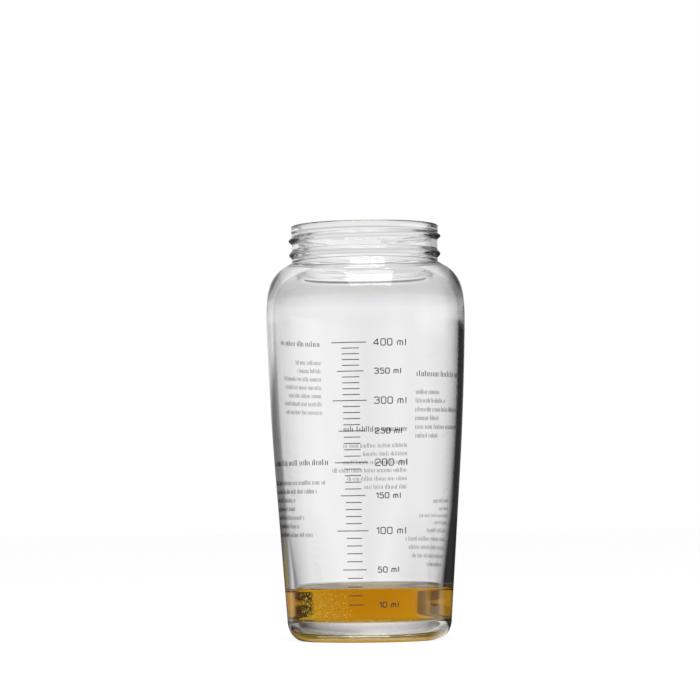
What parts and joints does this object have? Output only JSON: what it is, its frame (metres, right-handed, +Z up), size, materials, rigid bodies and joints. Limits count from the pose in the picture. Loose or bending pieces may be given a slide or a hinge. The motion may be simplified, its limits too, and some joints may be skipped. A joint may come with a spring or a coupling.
{
  "type": "salad dressing shaker",
  "caption": "Tapered clear glass dressing jar with volume marks and a screw lid with pouring spout and flip cap, taken off beside it.",
  "frame": {"origin": "middle of the jar's foot, on the surface it stands on", "axes": "+Z up along the jar's axis; +X towards the lid, which lies on the same surface; -Y is the front with the volume marks"},
  "size_m": [0.2497, 0.0804, 0.168],
  "materials": {
    "glass": "clear",
    "ink": "fired print",
    "oil": "clear liquid",
    "steel": "brushed",
    "black_plastic": "fine grain",
    "silicone": "translucent satin",
    "plain_steel": "plain"
  },
  "bodies": {
    "jar": {"glass_jar": "glass", "volume_marks": "ink", "oil_fill": "oil"},
    "insert": {"pour_insert": "black_plastic", "neck_seal": "silicone", "strainer": "plain_steel", "hinge_pin": "plain_steel"},
    "ring": {"screw_ring": "steel", "ring_liner": "black_plastic"},
    "cap": {"flip_cap": "black_plastic", "cap_plate": "steel", "cap_plug": "silicone"}
  },
  "joints": [
    {"name": "lid_carry", "type": "slide", "parent": "jar", "child": "insert", "axis": [-0.5322, 0, 0.8466], "range_m": [0, 0.3307]},
    {"name": "ring_turn", "type": "hinge", "parent": "insert", "child": "ring", "pos_m": [0.176, 0, 0.01], "axis": [0, 0, 1], "continuous": true},
    {"name": "cap_flip", "type": "hinge", "parent": "insert", "child": "cap", "pos_m": [0.176, 0.0242, 0.02005], "axis": [-1, 0, 0], "range_deg": [0, 115]}
  ]
}
